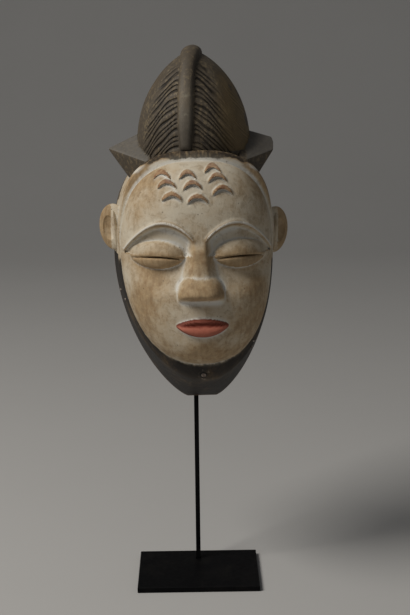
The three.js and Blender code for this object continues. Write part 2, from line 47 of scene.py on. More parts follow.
# Camera: a long lens a little above the crest, looking down at the mask and its foot.
# Its place was worked out from the four corners of the foot.
FRAME_WIDTH = 410  # pixels
FOCAL_LENGTH = 1300  # pixels
CAMERA_PLACE = (0.2 * MM, -1073.6 * MM, 477.7 * MM)
CAMERA_TURN = -0.44  # degrees
CAMERA_DIP = 12.44  # degrees below level
CAMERA_ROLL = -0.7  # degrees
camera_data = bpy.data.cameras.new("camera")
camera_data.sensor_fit = "HORIZONTAL"
camera_data.sensor_width = 36
camera_data.lens = FOCAL_LENGTH / FRAME_WIDTH * camera_data.sensor_width
camera = bpy.data.objects.new("camera", camera_data)
bpy.context.scene.collection.objects.link(camera)
bpy.context.scene.camera = camera
camera.matrix_world = (
    Matrix.Translation(CAMERA_PLACE)
    @ Matrix.Rotation(math.radians(CAMERA_TURN), 4, "Z")
    @ Matrix.Rotation(math.radians(90 - CAMERA_DIP), 4, "X")
    @ Matrix.Rotation(math.radians(CAMERA_ROLL), 4, "Z")
)

# Studio: a pale sweep of paper, one big soft lamp above on the left and a weak one on the right.
# The paper is flat where the foot stands and curves up well behind it. These sizes are metres.
SWEEP_HALF_WIDTH = 4.0
SWEEP_FRONT = -3.0
SWEEP_BACK = 1.6
SWEEP_RADIUS = 1.6
SWEEP_WALL = 3
NEAR = 0.001
sweep = bmesh.new()
bmesh.ops.create_grid(sweep, x_segments=1, y_segments=1, size=1)
for vert in sweep.verts:
    vert.co.x *= SWEEP_HALF_WIDTH
    vert.co.y = SWEEP_FRONT if vert.co.y < 0 else SWEEP_BACK
back_edge = [edge for edge in sweep.edges if all(vert.co.y > SWEEP_BACK - NEAR for vert in edge.verts)]
bmesh.ops.spin(
    sweep, geom=back_edge, cent=(0, SWEEP_BACK, SWEEP_RADIUS), axis=(1, 0, 0),
    angle=math.pi / 2, steps=16, use_merge=False,
)
top_edge = [edge for edge in sweep.edges if all(vert.co.z > SWEEP_RADIUS - NEAR for vert in edge.verts)]
raised = bmesh.ops.extrude_edge_only(sweep, edges=top_edge)["geom"]
wall_top = [item for item in raised if isinstance(item, bmesh.types.BMVert)]
bmesh.ops.translate(sweep, verts=wall_top, vec=(0, 0, SWEEP_WALL))
sweep_mesh = bpy.data.meshes.new("paper_sweep")
sweep.to_mesh(sweep_mesh)
sweep.free()
for polygon in sweep_mesh.polygons:
    polygon.use_smooth = True
paper_sweep = bpy.data.objects.new("paper_sweep", sweep_mesh)
bpy.context.scene.collection.objects.link(paper_sweep)


class Value:
    """A number on a node's socket; sums on it add the Math nodes that work them out."""

    def __init__(self, finish, socket):
        self.finish = finish
        self.socket = socket

    def math(self, operation, *others, clamp=False):
        settings = {"operation": operation, "use_clamp": clamp}
        return self.finish.node("ShaderNodeMath", settings, dict(enumerate((self, *others))))

    def __add__(self, other):
        return self.math("ADD", other)

    __radd__ = __add__

    def __mul__(self, other):
        return self.math("MULTIPLY", other)

    __rmul__ = __mul__

    def __sub__(self, other):
        return self.math("SUBTRACT", other)

    def __rsub__(self, other):
        return (self * -1) + other

    def held(self):
        """The same, kept between 0 and 1."""
        return self.math("ADD", 0, clamp=True)

    def step(self, low, high):
        """0 up to low, 1 from high, and smooth between."""
        inputs = {"Value": self, "From Min": low, "From Max": high}
        return self.finish.node("ShaderNodeMapRange", {"interpolation_type": "SMOOTHSTEP"}, inputs)


class Finish:
    """A material, with the nodes that this object's finishes are made from."""

    def __init__(self, name):
        self.material = bpy.data.materials.new(name)
        self.material.use_nodes = True
        self.tree = self.material.node_tree
        self.shader = self.tree.nodes["Principled BSDF"]
        self.place = self.node("ShaderNodeTexCoord", output="Object")

    def node(self, kind, settings=None, inputs=None, output=0):
        node = self.tree.nodes.new(kind)
        for name, setting in (settings or {}).items():
            setattr(node, name, setting)
        for name, value in (inputs or {}).items():
            if isinstance(value, Value):
                self.tree.links.new(value.socket, node.inputs[name])
            else:
                node.inputs[name].default_value = value
        return Value(self, node.outputs[output])

    def mix(self, share, first, second):
        """A colour between two colours, either of which may be a plain triple."""
        colours = [value if isinstance(value, Value) else (*value, 1) for value in (first, second)]
        inputs = {0: share, 6: colours[0], 7: colours[1]}
        return self.node("ShaderNodeMix", {"data_type": "RGBA"}, inputs, output=2)

    def layers(self, base, *coats):
        """Coats laid over a base colour one after the other, each with its share and its colour."""
        for share, colour in coats:
            base = self.mix(share, base, colour)
        return base

    def stretched(self, scale):
        return self.node("ShaderNodeMapping", None, {"Vector": self.place, "Scale": scale})

    def grain(self, scale, detail=3, rough=0.55, twist=0, place=None):
        inputs = {"Vector": place or self.place, "Scale": scale, "Detail": detail, "Roughness": rough}
        return self.node("ShaderNodeTexNoise", None, {**inputs, "Distortion": twist})

    def speckle(self, scale):
        return self.node("ShaderNodeTexVoronoi", None, {"Vector": self.place, "Scale": scale})

    def painted(self, name):
        """A value that is stored on the mesh's points."""
        return self.node("ShaderNodeAttribute", {"attribute_name": name}, output="Fac")

    def feed(self, name, value):
        if isinstance(value, Value):
            self.tree.links.new(value.socket, self.shader.inputs[name])
        else:
            self.shader.inputs[name].default_value = value

    def bump(self, height, distance, strength=1):
        inputs = {"Height": height, "Distance": distance, "Strength": strength}
        self.feed("Normal", self.node("ShaderNodeBump", None, inputs))


paper = Finish("pale paper")
paper.feed("Base Color", paper.mix(paper.grain(3), (0.50, 0.49, 0.475), (0.53, 0.52, 0.505)))
paper.feed("Roughness", 0.9)
sweep_mesh.materials.append(paper.material)


def soft_lamp(name, size, power, place, target, colour):
    """A square lamp that looks at a point of the object."""
    lamp_data = bpy.data.lights.new(name, "AREA")
    lamp_data.size = size
    lamp_data.energy = power
    lamp_data.color = colour
    lamp = bpy.data.objects.new(name, lamp_data)
    lamp.location = place
    lamp.rotation_euler = (Vector(target) - Vector(place)).to_track_quat("-Z", "Y").to_euler()
    bpy.context.scene.collection.objects.link(lamp)


MASK_CENTRE = (0, 0, 0.3)
WARM = (1.0, 0.97, 0.92)
COOL = (0.9, 0.95, 1.0)
soft_lamp("key_lamp", size=0.9, power=33, place=(-1.2, -0.75, 1.75), target=MASK_CENTRE, colour=WARM)
soft_lamp("fill_lamp", size=1.2, power=0.5, place=(1.4, -1.0, 0.7), target=MASK_CENTRE, colour=COOL)
world = bpy.data.worlds.new("studio")
bpy.context.scene.world = world
world.use_nodes = True
world.node_tree.nodes["Background"].inputs["Color"].default_value = (0.93, 0.96, 1.0, 1)
world.node_tree.nodes["Background"].inputs["Strength"].default_value = 0.09
bpy.context.scene.view_settings.view_transform = "Standard"

# Foot and rod: a sheared steel plate with a square bar let into a socket in it.
# Both have a matte black coat with a little dust in it.
black_coat = Finish("matte black coat")
coat_dust = black_coat.grain(60, detail=5, rough=0.7)
coat_colour = black_coat.mix(coat_dust.step(0.45, 0.8), (0.0025, 0.0025, 0.003), (0.008, 0.0075, 0.007))
black_coat.feed("Base Color", coat_colour)
black_coat.feed("Roughness", 0.42 + black_coat.grain(220, detail=4) * 0.2)
black_coat.feed("Metallic", 0.0)
black_coat.feed("Specular IOR Level", 0.07)
black_coat.bump(black_coat.grain(900, detail=2), 0.00006)
for name in ("foot", "rod"):
    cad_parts[name].data.materials.clear()
    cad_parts[name].data.materials.append(black_coat.material)

# Mask: one block of light wood, carved to a thin hollow shell. Face and ears have a worn coat of white
# clay, hair and rim are stained black, and the lips are red. Sizes are millimetres in the mask's own
# frame: z from its lowest edge, y = 0 at the back plane of its rim, and the face looks along -y.
BODY_WIDTH = 136
WIDEST_HEIGHT = 130
HEAD_TOP = 213
LOWER_EDGE_WIDTH = 24
LOWER_SWAY = 5.2
SWAY_HEIGHT = 120
FRONT_DEPTH = 88
CHEEK_DEPTH = 40
CHIN_DEPTH = 64
RIM_WALL = 9
FACE_WALL = 12
CHIN_WALL = 15
HAIRLINE = 209
CHIN_LINE = 43
FACE_WIDTH = 124
SLIT_HEIGHT = 1.2
BAND_HEIGHT = 7
BAND_DEPTH = 6
BAND_FRONT_ROUND = 0.8
BAND_BACK_ROUND = 1.6
FACE_SHARE = 0.75  # of the way out to the rim
BAND_PLACES = (0, BAND_FRONT_ROUND, BAND_DEPTH, BAND_DEPTH + BAND_BACK_ROUND)  # back from the face's edge
BAND_SHARES = (0, 1 / 16, 1 / 4, 5 / 16)  # of the way from there to the rim
MIDDLE = (HAIRLINE + CHIN_LINE) / 2
THIRD = (HAIRLINE - CHIN_LINE) / 3
BROW_LINE = HAIRLINE - THIRD
NOSE_BASE = BROW_LINE - THIRD
MOUTH_LINE = NOSE_BASE - THIRD / 3
EYE_LINE = BROW_LINE - THIRD / 3
EYE_MIDDLE = FACE_WIDTH * 0.27
LID_HALF_WIDTH = FACE_WIDTH * 0.175
LID_BULGE = 7.5
SLIT_RISE = 2.6
SLIT_LEVEL = EYE_LINE - THIRD * 0.06
CREASE_DEPTH = 2.6
BROW_RIDGE = 1.8
SOCKET_DEPTH = 6.5
NOSE_HEIGHT = 15.5
MOUTH_HALF_WIDTH = FACE_WIDTH * 0.172

# The mask's place: over the rod's upper end, turned and leaning a little, with a small gap to it.
FOOT_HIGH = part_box("foot")[1]
MASK_LIFT = 158
ROD_SET_IN = 16.5  # foot's back edge to the rod's middle
ROD_Y = FOOT_HIGH[1] / MM - ROD_SET_IN
ROD_SIDE = 4
LEAN = math.radians(2)
TURN = math.radians(3)
FIT_GAP = 0.3
# What the lean and the turn take up where the lower wall stands before the rod
LEAN_ROOM = CHIN_WALL * 1.2 * math.sin(LEAN) + ROD_SIDE * math.sin(TURN) + FIT_GAP
mask_place = (
    Matrix.Translation((0, (ROD_Y - ROD_SIDE / 2 - LEAN_ROOM) * MM, MASK_LIFT * MM))
    @ Matrix.Rotation(TURN, 4, "Z")
    @ Matrix.Rotation(-LEAN, 4, "X")
    @ Matrix.Scale(MM, 4)
)


def edge(low, high, value):
    """0 up to low, 1 from high, and smooth between."""
    share = np.clip((value - low) / (high - low), 0, 1)
    return share * share * (3 - 2 * share)


def hump(x, z, width, height):
    return np.exp(-((x / width) ** 2 + (z / height) ** 2) / 2)


def roundness(share, power):
    return np.maximum(0, 1 - np.abs(share) ** power)


def body_half_width(z):
    dome = roundness(np.maximum(z - WIDEST_HEIGHT, 0) / (HEAD_TOP - WIDEST_HEIGHT), 2.9) ** (1 / 2.9)
    fall = roundness(np.maximum(WIDEST_HEIGHT - z, 0) / WIDEST_HEIGHT, 2) ** 0.74
    shield = LOWER_EDGE_WIDTH / 2 + (BODY_WIDTH - LOWER_EDGE_WIDTH) / 2 * fall
    half_width = np.where(z > WIDEST_HEIGHT, BODY_WIDTH / 2 * dome, shield)
    return np.where((z < 0) | (z > HEAD_TOP), 0, half_width)


def sway(z):
    """How far the lower end lies to the side."""
    return LOWER_SWAY * np.maximum(0, 1 - z / SWAY_HEIGHT) ** 1.2


def face_half_width(z):
    share = (z - MIDDLE) / ((HAIRLINE - CHIN_LINE) / 2)
    return FACE_WIDTH / 2 * roundness(share, 2.4) ** (1 / 2.4) * (1 + 0.08 * share)


FARTHEST = 510.0
HALVINGS = 32


def reach(half_width_at, direction, middle):
    """How far an outline reaches from the middle, in directions of the front view."""
    near = np.zeros_like(direction)
    far = np.full_like(direction, FARTHEST)
    for _ in range(HALVINGS):
        tried = (near + far) / 2
        inside = np.abs(tried * np.cos(direction)) < half_width_at(middle + tried * np.sin(direction))
        near = np.where(inside, tried, near)
        far = np.where(inside, far, tried)
    return near


def brow_arc(x):
    inner = FACE_WIDTH * 0.04
    outer = FACE_WIDTH * 0.48
    along = (np.abs(x) - inner) / (outer - inner)
    held = np.clip(along, 0, 1)
    height = BROW_LINE - THIRD * (0.13 + 0.16 * held) + THIRD * 0.33 * np.sin(np.pi * held) ** 0.8
    return along, height


def slit_at(x):
    return SLIT_LEVEL + SLIT_RISE * roundness((np.abs(x) - EYE_MIDDLE) / LID_HALF_WIDTH, 2)


def socket_and_brow(x, z):
    along, height = brow_arc(x)
    below = height - z
    on_arc = edge(-0.06, 0.05, along) * (1 - edge(0.97, 1.08, along))
    ridge = BROW_RIDGE * on_arc * np.exp(-(((below + 1) / 1.4) ** 2))
    from_eye = (np.abs(x) - EYE_MIDDLE) / (FACE_WIDTH * 0.25)
    around = np.hypot(from_eye, (z - EYE_LINE) / (THIRD * 0.58))
    upper = z > EYE_LINE
    floor = np.where(upper, 1 - edge(0.9, 1.15, np.abs(from_eye)), 1)
    ring = 1 - edge(0.45, 1.1, np.where(upper, 0, around))
    socket = SOCKET_DEPTH * edge(0.2, 4.5, below) * np.minimum(floor, ring)
    return ridge - socket * edge(-0.02, 0.1, along)


def eyelids(x, z):
    across = (np.abs(x) - EYE_MIDDLE) / LID_HALF_WIDTH
    up = (z - EYE_LINE) / np.where(z > EYE_LINE, THIRD * 0.22, THIRD * 0.19)
    bulge = LID_BULGE * np.sqrt(np.maximum(0, 1 - across * across - up * up))
    to_slit = z - slit_at(x)
    crease = CREASE_DEPTH * np.exp(-((to_slit / 0.9) ** 2)) * roundness(across, 5)
    upper_lid = np.where(to_slit > 0, 0.9 * np.exp(-np.abs(to_slit) / 5) * roundness(across, 2), 0)
    return np.where(bulge > 0, bulge + upper_lid - crease * np.minimum(1, bulge / 2), 0)


def nose(x, z):
    tip = NOSE_BASE + THIRD * 0.12
    top = BROW_LINE - THIRD * 0.12
    down = np.clip((top - z) / (top - tip), 0, 1)
    bridge = (2.5 + 10 * down**1.5) * edge(0, 0.25, down) * roundness(x / (9 + 8 * down), 2)
    lobe_up = (z - tip) / np.where(z > tip, THIRD * 0.3, THIRD * 0.5)
    lobe_across = x / (FACE_WIDTH * 0.152)
    lobe = NOSE_HEIGHT * np.maximum(0, 1 - np.abs(lobe_across) ** 2.6 - lobe_up**2) ** 0.62
    return np.maximum(bridge, lobe) * edge(NOSE_BASE - 0.6, tip + 0.6, z)


def lip_edges(x):
    rise = roundness(x / MOUTH_HALF_WIDTH, 2) ** 0.75
    return MOUTH_LINE + THIRD * 0.1 * rise, MOUTH_LINE - THIRD * 0.165 * rise


def lips(x, z):
    upper_edge, lower_edge = lip_edges(x)
    within = (np.abs(x) < MOUTH_HALF_WIDTH) & (z <= upper_edge) & (z >= lower_edge)
    up = np.clip((z - MOUTH_LINE) / np.maximum(upper_edge - MOUTH_LINE, 0.01), 0, 1)
    down = np.clip((MOUTH_LINE - z) / np.maximum(MOUTH_LINE - lower_edge, 0.01), 0, 1)
    lower = 1.2 + 4.8 * np.sin(np.pi * (0.12 + 0.72 * down)) ** 0.8
    parting = edge(-1, 1, MOUTH_LINE - z)
    relief = (1 + 3 * up**0.7) * (1 - parting) + lower * parting
    ends = roundness(x / MOUTH_HALF_WIDTH, 6) * edge(0, 1.4, np.minimum(upper_edge - z, z - lower_edge))
    return np.where(within, ends * relief, 0)


# Forehead scars: three columns of three crescents, carved with the face.
# They are open below and overlap like scales, and each has a scoop under it.
SCAR_COUNT = 3
SCAR_WIDTH = 14
SCAR_THICKNESS = 3.4
SCAR_RISE = 6
SCAR_HEIGHT = 2.2
SCAR_SCOOP = 1.1
SCAR_ROW_PITCH = 5.6
SCAR_ROW_SPREAD = 1.3
SCAR_COLUMN_PITCH = 20
SCAR_MIDDLE_X = -8.4  # of the middle column's top crescent
SCAR_ROW_SHIFT = 3.6  # sideways from each row to the next
SCAR_TOP_ROOM = 5.5  # from the hairline to the middle column


def scar_shapes(x, z):
    """The raised arches, and the scoops under them, as shares of their full height and depth."""
    relief = np.zeros_like(x)
    scoop = np.zeros_like(x)
    for row in range(SCAR_COUNT):
        for column in range(SCAR_COUNT):
            away = column - 1
            centre_x = away * SCAR_COLUMN_PITCH + SCAR_MIDDLE_X + row * SCAR_ROW_SHIFT
            drop = row * (SCAR_ROW_PITCH + row * SCAR_ROW_SPREAD) + row * (1 - abs(away))
            top_z = HAIRLINE - SCAR_TOP_ROOM - drop + away * (2.3 + away * 2)
            across = (x - centre_x) / (SCAR_WIDTH / 2 + row * 0.7)
            under = top_z - SCAR_RISE * across * across - z
            below = under - SCAR_THICKNESS * (1 - 0.35 * np.minimum(across * across, 1))
            arch = edge(0, 0.7, under) * (1 - edge(0, 0.8, below)) * roundness(across, 8)
            relief = np.maximum(relief, arch)
            hollow = edge(0, 0.8, below) * (1 - edge(0.8, 4.5, below))
            scoop = np.maximum(scoop, hollow * roundness(across, 3))
    return relief, scoop


def scars(x, z):
    relief, scoop = scar_shapes(x, z)
    return SCAR_HEIGHT * relief - np.where(relief > 0.14, 0, SCAR_SCOOP * scoop)


def face_relief(x, z):
    forehead = 5 * hump(x, z - (HAIRLINE - THIRD * 0.5), FACE_WIDTH * 0.3, THIRD * 0.5)
    muzzle = 6 * hump(x, z - MOUTH_LINE, FACE_WIDTH * 0.2, THIRD * 0.33)
    chin = 4.5 * hump(x, z - (CHIN_LINE + THIRD * 0.3), FACE_WIDTH * 0.11, THIRD * 0.2)
    cheeks = 3 * hump(np.abs(x) - FACE_WIDTH * 0.29, z - (NOSE_BASE + 4), FACE_WIDTH * 0.13, THIRD * 0.36)
    features = np.maximum(nose(x, z), eyelids(x, z)) + lips(x, z) + scars(x, z)
    return forehead + muzzle + chin + cheeks + socket_and_brow(x, z) + features


def edge_depth_at(direction):
    """How far the face's edge stands before the back plane."""
    return CHEEK_DEPTH + (CHIN_DEPTH - CHEEK_DEPTH) * np.abs(np.sin(direction)) ** 3


def body_and_face_reach(direction):
    body_reach = reach(body_half_width, direction, MIDDLE)
    return body_reach, np.minimum(reach(face_half_width, direction, MIDDLE), body_reach - 2)


def side_depth_at(back, edge_depth):
    """How far back from the face's edge: crisp over the hair band, even behind it."""
    over_band = np.interp(back, BAND_SHARES, BAND_PLACES)
    behind = np.clip((back - BAND_SHARES[-1]) / (1 - BAND_SHARES[-1]), 0, 1)
    return over_band + (edge_depth - BAND_PLACES[-1]) * behind


def side_distance_at(back, from_edge, direction, face_reach, body_reach):
    """How far out the side lies, with the hair band standing out from it."""
    upward = np.sin(direction)
    band = edge(0, BAND_FRONT_ROUND, from_edge) * (1 - edge(BAND_DEPTH, BAND_PLACES[-1], from_edge))
    taper = (0.25 + 0.75 * edge(0.5, 0.95, upward)) * edge(0.05, 0.35, upward)
    return face_reach + (body_reach - face_reach) * back**0.92 + BAND_HEIGHT * band * taper


def body_points(share, direction):
    """The mask's front, for shares of the way out to the rim in directions of the front view."""
    body_reach, face_reach = body_and_face_reach(direction)
    edge_depth = edge_depth_at(direction)
    out = np.sin(np.minimum(share / FACE_SHARE, 1) * np.pi / 2)
    x = face_reach * out * np.cos(direction)
    z = MIDDLE + face_reach * out * np.sin(direction)
    face_depth = edge_depth + (FRONT_DEPTH - edge_depth) * np.sqrt(roundness(out, 2.6))
    face_depth = face_depth + face_relief(x, z) * (1 - edge(0.93, 1, out))
    back = np.clip((share - FACE_SHARE) / (1 - FACE_SHARE), 0, 1)
    from_edge = side_depth_at(back, edge_depth)
    side_distance = side_distance_at(back, from_edge, direction, face_reach, body_reach)
    on_face = share <= FACE_SHARE
    distance = np.where(on_face, face_reach * out, side_distance)
    depth = np.where(on_face, face_depth, edge_depth - from_edge)
    z = MIDDLE + distance * np.sin(direction)
    return np.stack([distance * np.cos(direction) + sway(z), -depth, z], axis=1)


def disc_place(u, v):
    """A square's places on a disc, as shares of the way out and directions: squares become circles."""
    sideways = np.abs(u) > np.abs(v)
    longer = np.where(sideways, u, v)
    shorter = np.where(sideways, v, u)
    turn = shorter / np.where(longer == 0, 1, longer) * np.pi / 4
    direction = np.where(sideways, turn, np.pi / 2 - turn) + np.pi * (longer < 0)
    return np.abs(longer), direction


def moved_grid(segments, points_at):
    """A square grid bent into a disc and moved to its place, with its open back closed flat."""
    sheet = bmesh.new()
    bmesh.ops.create_grid(sheet, x_segments=segments, y_segments=segments, size=1)
    flat = np.array([vert.co[:2] for vert in sheet.verts])
    points = points_at(*disc_place(flat[:, 0], flat[:, 1]))
    for vert, point in zip(sheet.verts, points.tolist()):
        vert.co = point
    rim = [item for item in sheet.edges if item.is_boundary]
    bmesh.ops.contextual_create(sheet, geom=rim)
    bmesh.ops.recalc_face_normals(sheet, faces=sheet.faces)
    return sheet


def as_object(name, shape):
    mesh = bpy.data.meshes.new(name)
    shape.to_mesh(mesh)
    shape.free()
    made = bpy.data.objects.new(name, mesh)
    bpy.context.scene.collection.objects.link(made)
    return made


def combine(target, operation, others):
    """Joins solids to the target, or cuts them from it, and takes them out of the scene."""
    for other in others:
        cutter = target.modifiers.new("combine", "BOOLEAN")
        cutter.operation = operation
        cutter.solver = "MANIFOLD"
        cutter.object = other
    depsgraph = bpy.context.evaluated_depsgraph_get()
    result = bpy.data.meshes.new_from_object(target.evaluated_get(depsgraph))
    target.modifiers.clear()
    target.data = result
    for other in others:
        bpy.data.objects.remove(other)


# Crest: a lobe of combed hair with a rib down its middle, carved from the same block.
# It is turned a little to one side, and its back is sawn flat in the plane of the rim.
CREST_TOP = 296
CREST_WIDTH = 95
CREST_FRONT = 60
CREST_TURN = math.radians(-9.5)
CREST_SHIFT = 1.8
CREST_SINK = 60
RIB_WIDTH = 11.5
RIB_HEIGHT = 4.6
GROOVE_PITCH = 4.4
GROOVE_SPAN = 30
GROOVE_DROP = 29.6
GROOVE_BEND = 1.5
GROOVE_DEPTH = 0.9  # in the mesh; a finer cut down each groove's middle is in the material, with painted shade along it
CREST_MIDDLE = HEAD_TOP - 2


def crest_half_width(z):
    above = (z - CREST_MIDDLE) / (CREST_TOP - CREST_MIDDLE)
    below = (CREST_MIDDLE - z) / CREST_SINK
    return CREST_WIDTH / 2 * roundness(np.where(z > CREST_MIDDLE, above, below), 2.3) ** 0.7


def crest_points(share, direction):
    out = np.sin(share * np.pi / 2)
    distance = out * reach(crest_half_width, direction, CREST_MIDDLE)
    power = 2.1 + 0.7 * np.abs(np.sin(direction))
    depth = CREST_FRONT * roundness(out, power) ** (1 / power)
    z = CREST_MIDDLE + distance * np.sin(direction)
    return np.stack([distance * np.cos(direction), -depth, z], axis=1)


def groove_number(x, z):
    """Counts the combed grooves from the lowest; whole numbers are the grooves' middles."""
    beside = np.maximum(np.abs(x) - RIB_WIDTH / 2, 0)
    drop = GROOVE_DROP * (beside / GROOVE_SPAN) ** GROOVE_BEND
    number = (z - CREST_MIDDLE + drop) / GROOVE_PITCH
    uneven = 0.22 * np.sin(number * 1.9 + np.where(x < 0, 0.0, 2.3))
    return number + uneven + 0.14 * np.sin(beside * 0.33 + number * 0.7)


def half_rib_at(z):
    height_share = np.clip((z - CREST_MIDDLE) / (CREST_TOP - CREST_MIDDLE), 0, 1)
    return RIB_WIDTH / 2 * (0.78 + 0.22 * edge(0, 0.35, height_share) + 0.3 * edge(0.8, 1, height_share))


def combed_share(x, z):
    """1 where the lobe is combed; its outer strip and its top are smooth."""
    beside = np.abs(x) - half_rib_at(z)
    height_share = np.clip((z - CREST_MIDDLE) / (CREST_TOP - CREST_MIDDLE), 0, 1)
    side_reach = np.maximum(crest_half_width(z) - RIB_WIDTH / 2, 1)
    inner = 1 - edge(0.62, 0.86, beside / side_reach + 0.25 * height_share)
    return edge(0.6, 2, beside) * inner * (1 - edge(0.78, 0.9, height_share))


def comb(crest):
    """Raises the rib and cuts the grooves, square to the lobe's surface."""
    points = np.array([vert.co[:] for vert in crest.verts])
    normals = np.array([vert.normal[:] for vert in crest.verts])
    x, y, z = points.T
    rib = RIB_HEIGHT * roundness(x / half_rib_at(z), 2.6) ** 0.5 * edge(2, 9, z - CREST_MIDDLE)
    wander = np.array([noise.noise((px * 0.08, py * 0.08, pz * 0.08)) for px, py, pz in points.tolist()])
    cut = 0.5 + 0.5 * np.cos(2 * np.pi * groove_number(x, z))
    grooves = GROOVE_DEPTH * cut * combed_share(x, z) * (0.85 + 0.5 * wander) * (y < -4)
    moved = points + normals * (rib - grooves + 0.35 * wander * (y < -2))[:, None]
    moved[:, 1] = np.where(y > -0.01, 0, moved[:, 1])
    for vert, point in zip(crest.verts, moved.tolist()):
        vert.co = point


CREST_CELLS = 170
crest = moved_grid(CREST_CELLS, crest_points)
comb(crest)
crest_place = Matrix.Translation((CREST_SHIFT, 0, 0)) @ Matrix.Rotation(CREST_TURN, 4, "Z")
bmesh.ops.transform(crest, matrix=crest_place, verts=crest.verts)
bmesh.ops.bisect_plane(
    crest, geom=crest.verts[:] + crest.edges[:] + crest.faces[:], plane_co=(0, 0, 0), plane_no=(0, 1, 0),
    clear_outer=True,
)
bmesh.ops.contextual_create(crest, geom=[item for item in crest.edges if item.is_boundary])
bmesh.ops.recalc_face_normals(crest, faces=crest.faces)
crest_object = as_object("crest", crest)

# Side tresses: faceted points beside the crest, cut from the same block.
# The left one is sharp and the right one blunt. Their flats are divided to carry the paint's values.
LEFT_TRESS_REACH = 71
RIGHT_TRESS_REACH = 67
TRESS_CUTS = 12


def tress(side, tress_reach, tips):
    root = CREST_WIDTH * 0.38
    corners = [
        (root, -8, CREST_MIDDLE + 22),
        (root, -CREST_FRONT * 0.85, CREST_MIDDLE - 5),
        (root, -3, CREST_MIDDLE - 45),
        (root, -CREST_FRONT * 0.5, CREST_MIDDLE - 42),
        (root, -2, CREST_MIDDLE - 4),
    ]
    corners += [(tress_reach - inward, y, CREST_MIDDLE + up) for inward, y, up in tips]
    shape = bmesh.new()
    for x, y, z in corners:
        shape.verts.new((side * x, y, z))
    hull = bmesh.ops.convex_hull(shape, input=shape.verts)
    left_over = hull["geom_interior"] + hull["geom_unused"]
    unused = [item for item in left_over if isinstance(item, bmesh.types.BMVert)]
    bmesh.ops.delete(shape, geom=unused, context="VERTS")
    bmesh.ops.recalc_face_normals(shape, faces=shape.faces)
    bmesh.ops.bevel(
        shape, geom=shape.edges, offset=0.7, segments=2, profile=0.5, affect="EDGES", material=-1,
        clamp_overlap=True,
    )
    bmesh.ops.triangulate(shape, faces=shape.faces)
    bmesh.ops.subdivide_edges(shape, edges=shape.edges, cuts=TRESS_CUTS, use_grid_fill=True)
    return as_object("tress", shape)


tresses = [
    tress(-1, LEFT_TRESS_REACH, [(0, -16, 6)]),
    tress(1, RIGHT_TRESS_REACH, [(1, -12, 13), (0, -16, 9), (1, -24, 3), (4, -6, 3)]),
]

# Ears: flat lobes that stand out from the head, carved with it.
# Each has a hollowed front, and a folded flap beside the face.
EAR_HEIGHT = 39
LEFT_EAR_MIDDLE = 152
RIGHT_EAR_MIDDLE = 147
LEFT_EAR_STAND_OUT = 13.5
RIGHT_EAR_STAND_OUT = 12
EAR_THICKNESS = 8
EAR_DEPTH = 20
EAR_ROOTED = 12
EAR_TWIST = 0.25  # radians
EAR_TILT = 0.1


def blob(size, centre, place):
    shape = bmesh.new()
    bmesh.ops.create_uvsphere(shape, u_segments=48, v_segments=32, radius=1)
    matrix = place @ Matrix.Translation(centre) @ Matrix.Diagonal((*size, 1))
    bmesh.ops.transform(shape, matrix=matrix, verts=shape.verts)
    bmesh.ops.recalc_face_normals(shape, faces=shape.faces)
    return as_object("blob", shape)


ears = []
for side, stand_out, middle in (
    (-1, LEFT_EAR_STAND_OUT, LEFT_EAR_MIDDLE),
    (1, RIGHT_EAR_STAND_OUT, RIGHT_EAR_MIDDLE),
):
    half = EAR_HEIGHT / 2
    head_side = float(body_half_width(np.array(middle))) - 1
    place = (
        Matrix.Translation((side * head_side, -EAR_DEPTH, middle))
        @ Matrix.Rotation(side * EAR_TWIST, 4, "Z")
        @ Matrix.Rotation(side * EAR_TILT, 4, "Y")
        @ Matrix.Diagonal((side, 1, 1, 1))
    )
    lobe_size = ((stand_out + EAR_ROOTED) / 2, EAR_THICKNESS / 2, half)
    ear = blob(lobe_size, ((stand_out - EAR_ROOTED) / 2, 0, 0), place)
    bowl_middle = (stand_out * 0.36, -EAR_THICKNESS / 2 - 0.4, 0)
    bowl = blob((stand_out * 0.42, 3.2, half * 0.58), bowl_middle, place)
    combine(ear, "DIFFERENCE", [bowl])
    flap = blob((2.4, 4, half * 0.8), (-0.5, -EAR_THICKNESS / 2 + 1, -half * 0.08), place)
    combine(ear, "UNION", [flap])
    ears.append(ear)

# The hollow behind the face, cut out from the back and left plain, and the slits between the lids.
# The slits open through the wood into the hollow.
HOLLOW_OVERRUN = 6
BODY_CELLS = 240
HOLLOW_CELLS = 48


def hollow_points(share, direction):
    downward = edge(0.2, 1, -np.sin(direction))
    power = 2.4 - 0.75 * downward
    wall = RIM_WALL + (CHIN_WALL - RIM_WALL) * downward
    out = np.sin(share * np.pi / 2)
    distance = out * (reach(body_half_width, direction, MIDDLE) - wall)
    depth = (FRONT_DEPTH - FACE_WALL + HOLLOW_OVERRUN) * roundness(out, power) ** (1 / power)
    z = MIDDLE + distance * np.sin(direction)
    return np.stack([distance * np.cos(direction) + sway(z), HOLLOW_OVERRUN - depth, z], axis=1)


def eye_slit(side):
    slot = bmesh.new()
    bmesh.ops.create_grid(slot, x_segments=24, y_segments=1, size=1)
    reach_out = LID_HALF_WIDTH * 0.8
    for vert in slot.verts:
        x = EYE_MIDDLE + vert.co.x * reach_out
        half = SLIT_HEIGHT / 2 * max(0.25, float(roundness(vert.co.x, 2)))
        up = float(slit_at(np.array(x))) + math.copysign(half, vert.co.y)
        vert.co = (side * x, -FRONT_DEPTH - 40, up)
    pulled = bmesh.ops.extrude_face_region(slot, geom=slot.faces[:])["geom"]
    moved = [item for item in pulled if isinstance(item, bmesh.types.BMVert)]
    bmesh.ops.translate(slot, verts=moved, vec=(0, FRONT_DEPTH, 0))
    bmesh.ops.recalc_face_normals(slot, faces=slot.faces)
    return as_object("eye_slit", slot)


